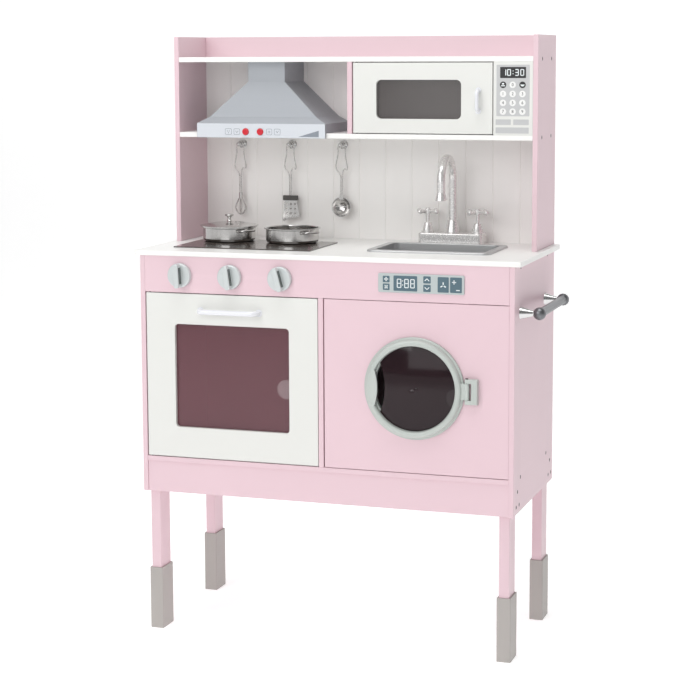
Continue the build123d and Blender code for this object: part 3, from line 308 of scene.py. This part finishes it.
def numerals(name, items, key, body, y):
    """Plain printed numerals; items are (text, x, z, height) in mm, centred."""
    bm = bmesh.new()
    for text, x, z, h in items:
        cu = bpy.data.curves.new("numeral", "FONT")
        cu.body, cu.size, cu.extrude = text, h * MM * 1.35, 0.00006
        cu.align_x, cu.align_y, cu.resolution_u = "CENTER", "CENTER", 3
        ob = bpy.data.objects.new("numeral", cu)
        me = bpy.data.meshes.new_from_object(ob)
        me.transform(Matrix.Translation(at(x, y, z)) @ Matrix.Rotation(math.pi / 2, 4, "X"))
        bm.from_mesh(me)
        bpy.data.meshes.remove(me)
        bpy.data.objects.remove(ob)
        bpy.data.curves.remove(cu)
    return piece(name, bm, key, body)


# ------------------------------------------------------------------ oven and hob display
d_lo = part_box("display_plate")[0]
DISPLAY_Y = (d_lo.y - REAR_Y) / MM  # its front face, mm
TILE, MARK = DISPLAY_Y - 0.25, DISPLAY_Y - 0.4
TILES = [(110.8, 122.9, 646.6, 657.6), (110.8, 122.9, 633.4, 644.4), (129.8, 171.4, 632.6, 658.6),
         (182.0, 195.0, 647.0, 659.0), (182.0, 195.0, 632.6, 644.6), (207.0, 226.4, 632.6, 658.6),
         (228.6, 249.0, 632.6, 658.6)]
plates("display_tiles", "slate", "kitchen", [rounded(*t, 1.4) for t in TILES],
       TILE, DISPLAY_Y + 0.1, 0.00012)
bm = bmesh.new()
for k, x in zip("888", (136.5, 149.5, 160.0)):
    seven(bm, k, x, 638.6, 6.4, 14.0, 1.5, MARK, TILE + 0.05)
for z in (642.2, 649.0):
    prism(bm, rounded(145.2, 146.9, z, z + 1.7, 0.4, 2), MARK, TILE + 0.05)
for x, z in ((116.85, 652.1), (116.85, 638.9)):
    turn = 0 if z > 645 else 45
    for a in (turn, turn + 90):
        c, s = math.cos(math.radians(a)) * 3.4, math.sin(math.radians(a)) * 3.4
        prism(bm, stroke(x - c, z - s, x + c, z + s, 2.2), MARK, TILE + 0.05)
for z, up in ((653.0, 1), (638.6, -1)):
    for s in (-1, 1):
        prism(bm, stroke(188.5, z + 2.0 * up, 188.5 + 3.8 * s, z - 1.8 * up, 1.3), MARK, TILE + 0.05)
for a in (90, 210, 330):
    c, s = math.cos(math.radians(a)), math.sin(math.radians(a))
    prism(bm, stroke(216.7 + 1.2 * c, 644.4 + 1.2 * s, 216.7 + 5.4 * c, 644.4 + 5.4 * s, 1.8),
          MARK, TILE + 0.05)
for p in ((232.0, 650.4, 239.0, 650.4), (235.5, 646.9, 235.5, 653.9), (239.0, 637.0, 245.4, 637.0)):
    prism(bm, stroke(*p, 1.5), MARK, TILE + 0.05)
piece("display_marks", bm, "print", "kitchen")

# ------------------------------------------------------------------ microwave key panel
p_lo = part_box("microwave_panel")[0]
PANEL_Y = (p_lo.y - REAR_Y) / MM
FIELD, KEY_Y = PANEL_Y - 0.2, PANEL_Y - 0.45
plates("panel_field", "panel_grey", "kitchen",
       [rounded(265.6, 324.0, 922.0, 1010.5, 1.5), rounded(264.4, 291.4, 907.0, 916.5, 0.8),
        rounded(295.7, 323.0, 907.0, 916.5, 0.8), rounded(264.4, 323.0, 892.4, 902.7, 0.8)],
       FIELD, PANEL_Y + 0.1, 0.0001)
plates("panel_display", "black", "kitchen", [rounded(272.0, 317.7, 987.6, 1006.6, 1.0)],
       KEY_Y, PANEL_Y, 0.0001)
bm = bmesh.new()
for k, x in zip("1030", (276.8, 285.2, 299.0, 308.4)):
    seven(bm, k, x, 992.2, 5.2, 10.0, 1.6, KEY_Y - 0.12, KEY_Y + 0.05)
for z in (994.2, 999.0):
    prism(bm, rounded(294.1, 295.7, z, z + 1.6, 0.4, 2), KEY_Y - 0.12, KEY_Y + 0.05)
piece("panel_time", bm, "print", "kitchen")
KEY_X, KEY_ROWS, KEY_R = (277.3, 294.4, 311.6), (976.0, 960.4, 945.0, 930.0), 5.7
whites, darks, labels = [], [], []
for r, z in enumerate(KEY_ROWS):
    for c, x in enumerate(KEY_X):
        if r == 0 and c != 1:
            darks.append(circle(x, z, KEY_R))
        else:
            whites.append(circle(x, z, KEY_R))
            labels.append(("0" if r == 0 else str((r - 1) * 3 + c + 1), x, z, 5.6))
plates("panel_keys", "key", "kitchen", whites, KEY_Y, PANEL_Y, 0.00025)
plates("panel_keys_dark", "black", "kitchen", darks, KEY_Y, PANEL_Y, 0.00025)
numerals("panel_numerals", labels, "black", "kitchen", KEY_Y)
bm = bmesh.new()
prism(bm, rounded(273.9, 280.7, 973.6, 975.2, 0.4, 2), KEY_Y - 0.12, KEY_Y + 0.05)
prism(bm, rounded(275.3, 279.3, 976.4, 979.2, 1.2, 3), KEY_Y - 0.12, KEY_Y + 0.05)
bowl = [(311.6 + 3.6 * math.cos(a), 976.6 + 3.4 * math.sin(a))
        for a in (math.pi + math.pi * k / 12 for k in range(13))]
prism(bm, bowl, KEY_Y - 0.12, KEY_Y + 0.05)
piece("panel_icons", bm, "print", "kitchen")

# ------------------------------------------------------------------ hood front
h_lo, h_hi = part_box("hood_canopy")
HOOD_Y = (h_lo.y - REAR_Y) / MM
HX0, HX1, HZ0 = (h_lo.x - MID_X) / MM, (h_hi.x - MID_X) / MM, h_lo.z / MM
bx = [sum(((lo.x + hi.x) / 2 - MID_X) / MM for lo, hi in [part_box(n)])
      for n in ("hood_button_left", "hood_button_right")]
b_lo, b_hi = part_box("hood_button_left")
BZ, BR = (b_lo.z + b_hi.z) / 2 / MM, (b_hi.z - b_lo.z) / 2 / MM
BEZEL_OUT, BEZEL_GAP = 2.0, 0.35  # a button's bezel: how far past the button it ends and begins
bm = bmesh.new()
for x in bx:
    ring_prism(bm, circle(x, BZ, BR + BEZEL_OUT), circle(x, BZ, BR + BEZEL_GAP),
               lambda u, v, h: at(u, HOOD_Y - 0.35 + 0.45 * h, v))
piece("hood_bezels", bm, "hood_plate", "kitchen", 0.0001)
bm = bmesh.new()
ICON = HOOD_Y - 0.2  # face of the printed marks
ICON_HALF, ICON_LINE = 5.6, 0.7  # half the height of an icon's frame, and its line
ICON_IN = ICON_HALF - ICON_LINE
for x0, x1 in ((-238, -225), (-221, -209), (-158, -147), (-143, -131)):
    outer = rounded(x0, x1, BZ - ICON_HALF, BZ + ICON_HALF, 2.4)
    inner = rounded(x0 + ICON_LINE, x1 - ICON_LINE, BZ - ICON_IN, BZ + ICON_IN, 1.9)
    ring_prism(bm, outer, inner, lambda u, v, h: at(u, ICON + 0.25 * h, v))
for a in (30, 150, 270):
    c, s = math.cos(math.radians(a)), math.sin(math.radians(a))
    prism(bm, stroke(-231.5 + c, BZ + s, -231.5 + 3.3 * c, BZ + 3.3 * s, 1.0), ICON, HOOD_Y + 0.05)
for p in ((-217.5, 1.5, -215, -2.0), (-215, -2.0, -212.5, 1.5), (-155, 0, -150, 0),
          (-152.5, -2.5, -152.5, 2.5), (-139.5, 2.2, -137, -1.8), (-137, -1.8, -134.5, 2.2)):
    prism(bm, stroke(p[0], BZ + p[1], p[2], BZ + p[3], 0.8), ICON, HOOD_Y + 0.05)
prism(bm, [(-97, HZ0 + 2.6), (-58, HZ0 + 2.6), (-58, HZ0 + 14.0)], ICON, HOOD_Y + 0.05)
piece("hood_icons", bm, "hood_print", "kitchen")
# the light front sheet, in cells so that it is open where the buttons pass
SHEET_Z0, SHEET_Z1, CELL, HOLE_GAP = HZ0 + 0.4, HZ0 + 25.6, 13.0, 0.3
SHEET_Y, SHEET_T = HOOD_Y - 0.08, 0.13
bm = bmesh.new()
spans = [(HX0 + 0.4, bx[0] - CELL), (bx[0] + CELL, bx[1] - CELL), (bx[1] + CELL, HX1 - 0.4)]
for x0, x1 in spans:
    prism(bm, [(x0, SHEET_Z0), (x1, SHEET_Z0), (x1, SHEET_Z1), (x0, SHEET_Z1)],
          SHEET_Y, SHEET_Y + SHEET_T)
for x in bx:
    side = 12
    x0, x1 = x - CELL, x + CELL
    wide, high = x1 - x0, SHEET_Z1 - SHEET_Z0
    square = ([(x0 + wide * k / side, SHEET_Z0) for k in range(side)]
              + [(x1, SHEET_Z0 + high * k / side) for k in range(side)]
              + [(x1 - wide * k / side, SHEET_Z1) for k in range(side)]
              + [(x0, SHEET_Z1 - high * k / side) for k in range(side)])
    hole = [(x + (BR + HOLE_GAP) * (u - x) / math.hypot(u - x, v - BZ),
             BZ + (BR + HOLE_GAP) * (v - BZ) / math.hypot(u - x, v - BZ)) for u, v in square]
    ring_prism(bm, square, hole, lambda u, v, h: at(u, SHEET_Y + SHEET_T * h, v))
piece("hood_front_sheet", bm, "hood_plate", "kitchen")

# ------------------------------------------------------------------ turner collar
t_lo, t_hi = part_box("turner")
COLLAR_W, COLLAR_H, COLLAR_OUT = 29.4, 9.4, 2.25  # width, height, half the thickness
STEM_X, WIRE_Y = -157.0, ((t_lo.y + t_hi.y) / 2 - REAR_Y) / MM
COLLAR_Z = t_lo.z / MM + 43.5
bm = bmesh.new()
prism(bm, rounded(STEM_X - COLLAR_W / 2, STEM_X + COLLAR_W / 2, COLLAR_Z - COLLAR_H / 2,
                  COLLAR_Z + COLLAR_H / 2, 1.6), WIRE_Y - COLLAR_OUT, WIRE_Y + COLLAR_OUT)
piece("turner_collar", bm, "dark_steel", "turner_body", 0.0004)

# ------------------------------------------------------------------ knob grip ribs
GRIP_HALF, RIB_HALF = 4.75, 14.5  # half the grip's width, half a rib's length
RIB_OUT, RIB_IN = 0.12, 0.3  # how far a rib stands out of the grip's side, and goes into it
RIBS = ((2.6, 6.8), (7.8, 12.2))  # each rib's start and end behind the grip's tip
for n, tilt, body in (("hob_knob_1", 3.0, "knob_left"), ("hob_knob_2", 8.0, "knob_middle"),
                      ("hob_knob_3", 15.0, "knob_right")):
    lo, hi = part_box(n)
    kx, kz = ((lo.x + hi.x) / 2 - MID_X) / MM, (lo.z + hi.z) / 2 / MM
    tip = (lo.y - REAR_Y) / MM
    c, q = math.cos(math.radians(tilt)), math.sin(math.radians(tilt))
    bm = bmesh.new()
    for y0, y1 in ((tip + a, tip + b) for a, b in RIBS):
        faces = [[bm.verts.new(at(kx + w * c - l * q, y, kz + w * q + l * c))
                  for l, y in ((-RIB_HALF, y0), (RIB_HALF, y0), (RIB_HALF, y1), (-RIB_HALF, y1))]
                 for w in (GRIP_HALF + RIB_OUT, GRIP_HALF - RIB_IN)]
        bm.faces.new(faces[0])
        bm.faces.new(faces[1][::-1])
        for i in range(4):
            j = (i + 1) % 4
            bm.faces.new((faces[0][i], faces[1][i], faces[1][j], faces[0][j]))
    piece(n + "_ribs", bm, "rib", body)

# ------------------------------------------------------------------ hob print, pan supports
HOB_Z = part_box("hob_plate")[1].z / MM
RING_RADII, RING_LINE, INK_T = (56.0, 40.0), 0.8, 0.06


def flat_place(z, t):
    return lambda u, v, h: at(u, v, z + t * (1 - h))


pans = {}
for n in ("pot_left", "pot_right"):
    lo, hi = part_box(n)
    pans[n] = ((lo.x + hi.x) / 2 / MM - MID_X / MM, (lo.y + hi.y) / 2 / MM - REAR_Y / MM)
bm = bmesh.new()
for x, y in pans.values():
    for r in RING_RADII:
        ring_prism(bm, circle(x, y, r, 72), circle(x, y, r - RING_LINE, 72),
                   flat_place(HOB_Z, INK_T))
piece("hob_rings", bm, "ink", "kitchen")

# ------------------------------------------------------------------ washer door moulding
w_lo, w_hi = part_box("washer_window")
WX, WZ = ((w_lo.x + w_hi.x) / 2 - MID_X) / MM, (w_lo.z + w_hi.z) / 2 / MM
DOME_Y = (w_lo.y - REAR_Y) / MM
bm = bmesh.new()
steps, rings = 24, 6
NUB_R, NUB_H, NUB_IN = 4.2, 1.1, 0.4  # radius, height, how far its foot is set into the dome
prev = None
for i in range(rings + 1):
    a = math.pi / 2 * i / rings
    r, h = NUB_R * math.cos(a), NUB_H * math.sin(a)
    row = ([bm.verts.new(at(WX + r * math.cos(2 * math.pi * k / steps), DOME_Y + NUB_IN - h,
                            WZ + r * math.sin(2 * math.pi * k / steps))) for k in range(steps)]
           if i < rings else [bm.verts.new(at(WX, DOME_Y + NUB_IN - h, WZ))])
    if prev:
        for k in range(steps):
            j = (k + 1) % steps
            bm.faces.new((prev[k], prev[j], row[j], row[k]) if len(row) > 1
                         else (prev[k], prev[j], row[0]))
    prev = row
nub = piece("washer_nub", bm, "smoke", "washer_leaf")
for f in nub.data.polygons:
    f.use_smooth = True

# ------------------------------------------------------------------ stage, light and camera
bm = bmesh.new()
half, front_y, back_y, rise, bend = 30.0, -30.0, 4.0, 5.0, 1.5  # the paper's sizes, metres
GLOW, SKY = 0.45, 0.24  # light the paper gives off, light from all round
prof = [(front_y, 0.0), (back_y - bend, 0.0)] + [
    (back_y - bend + bend * math.sin(math.pi / 2 * k / 12), bend - bend * math.cos(math.pi / 2 * k / 12))
    for k in range(1, 13)] + [(back_y, rise)]
rows = [[bm.verts.new((s * half, y, z)) for s in (-1, 1)] for y, z in prof]
for a, b in zip(rows, rows[1:]):
    bm.faces.new((a[0], a[1], b[1], b[0]))
me = bpy.data.meshes.new("studio_floor")
bm.to_mesh(me)
bm.free()
floor = bpy.data.objects.new("studio_floor", me)
bpy.context.scene.collection.objects.link(floor)
for f in me.polygons:
    f.use_smooth = True
paper = finish("studio_paper", (0.93, 0.93, 0.93), 0.9, vary=0.004, bump=0.0, spec=0.1)
glow = paper.node_tree.nodes["Principled BSDF"]
glow.inputs["Emission Color"].default_value = (1.0, 1.0, 1.0, 1.0)
glow.inputs["Emission Strength"].default_value = GLOW
me.materials.append(paper)

world = bpy.data.worlds.new("studio")
bpy.context.scene.world = world
world.use_nodes = True
world.node_tree.nodes["Background"].inputs["Color"].default_value = (1.0, 1.0, 1.0, 1.0)
world.node_tree.nodes["Background"].inputs["Strength"].default_value = SKY


def area(name, loc, target, size, power):
    li = bpy.data.lights.new(name, "AREA")
    li.shape, li.size, li.energy = "SQUARE", size, power
    ob = bpy.data.objects.new(name, li)
    ob.location = loc
    ob.rotation_mode = "QUATERNION"
    ob.rotation_quaternion = (Vector(target) - Vector(loc)).to_track_quat("-Z", "Y")
    bpy.context.scene.collection.objects.link(ob)


area("key", (-1.5, -2.8, 2.2), (0, 0, 0.7), 1.6, 25.0)
area("front", (0.0, -3.2, 1.7), (0, 0, 0.85), 2.0, 19.0)
area("fill", (2.6, -1.4, 1.4), (0, 0, 0.6), 2.0, 0.5)
area("top", (0.0, -0.7, 3.2), (0, 0, 0.6), 2.2, 46.0)

CAM, YAW, PITCH, ROLL = at(1037.3, -3288.1, 1028.7), 18.301, 6.918, -0.206
FOCAL, PICTURE, SENSOR, SHIFT = 1857.7, 700, 36.0, -0.1  # the lens for a picture 700 wide
cam_data = bpy.data.cameras.new("camera")
cam_data.sensor_width = SENSOR
cam_data.lens = FOCAL / PICTURE * SENSOR
cam_data.shift_y = SHIFT
cam = bpy.data.objects.new("camera", cam_data)
bpy.context.scene.collection.objects.link(cam)
yaw, pitch, roll = math.radians(YAW), math.radians(PITCH), math.radians(ROLL)
fw = Vector((-math.sin(yaw) * math.cos(pitch), math.cos(yaw) * math.cos(pitch), -math.sin(pitch)))
right0 = Vector((math.cos(yaw), math.sin(yaw), 0))
up0 = right0.cross(fw)
right = right0 * math.cos(roll) + up0 * math.sin(roll)
up = right.cross(fw)
cam.matrix_world = Matrix((
    (right.x, up.x, -fw.x, CAM.x), (right.y, up.y, -fw.y, CAM.y), (right.z, up.z, -fw.z, CAM.z),
    (0, 0, 0, 1)))
bpy.context.scene.camera = cam
bpy.context.scene.view_settings.view_transform = "Standard"

bpy.context.view_layer.update()
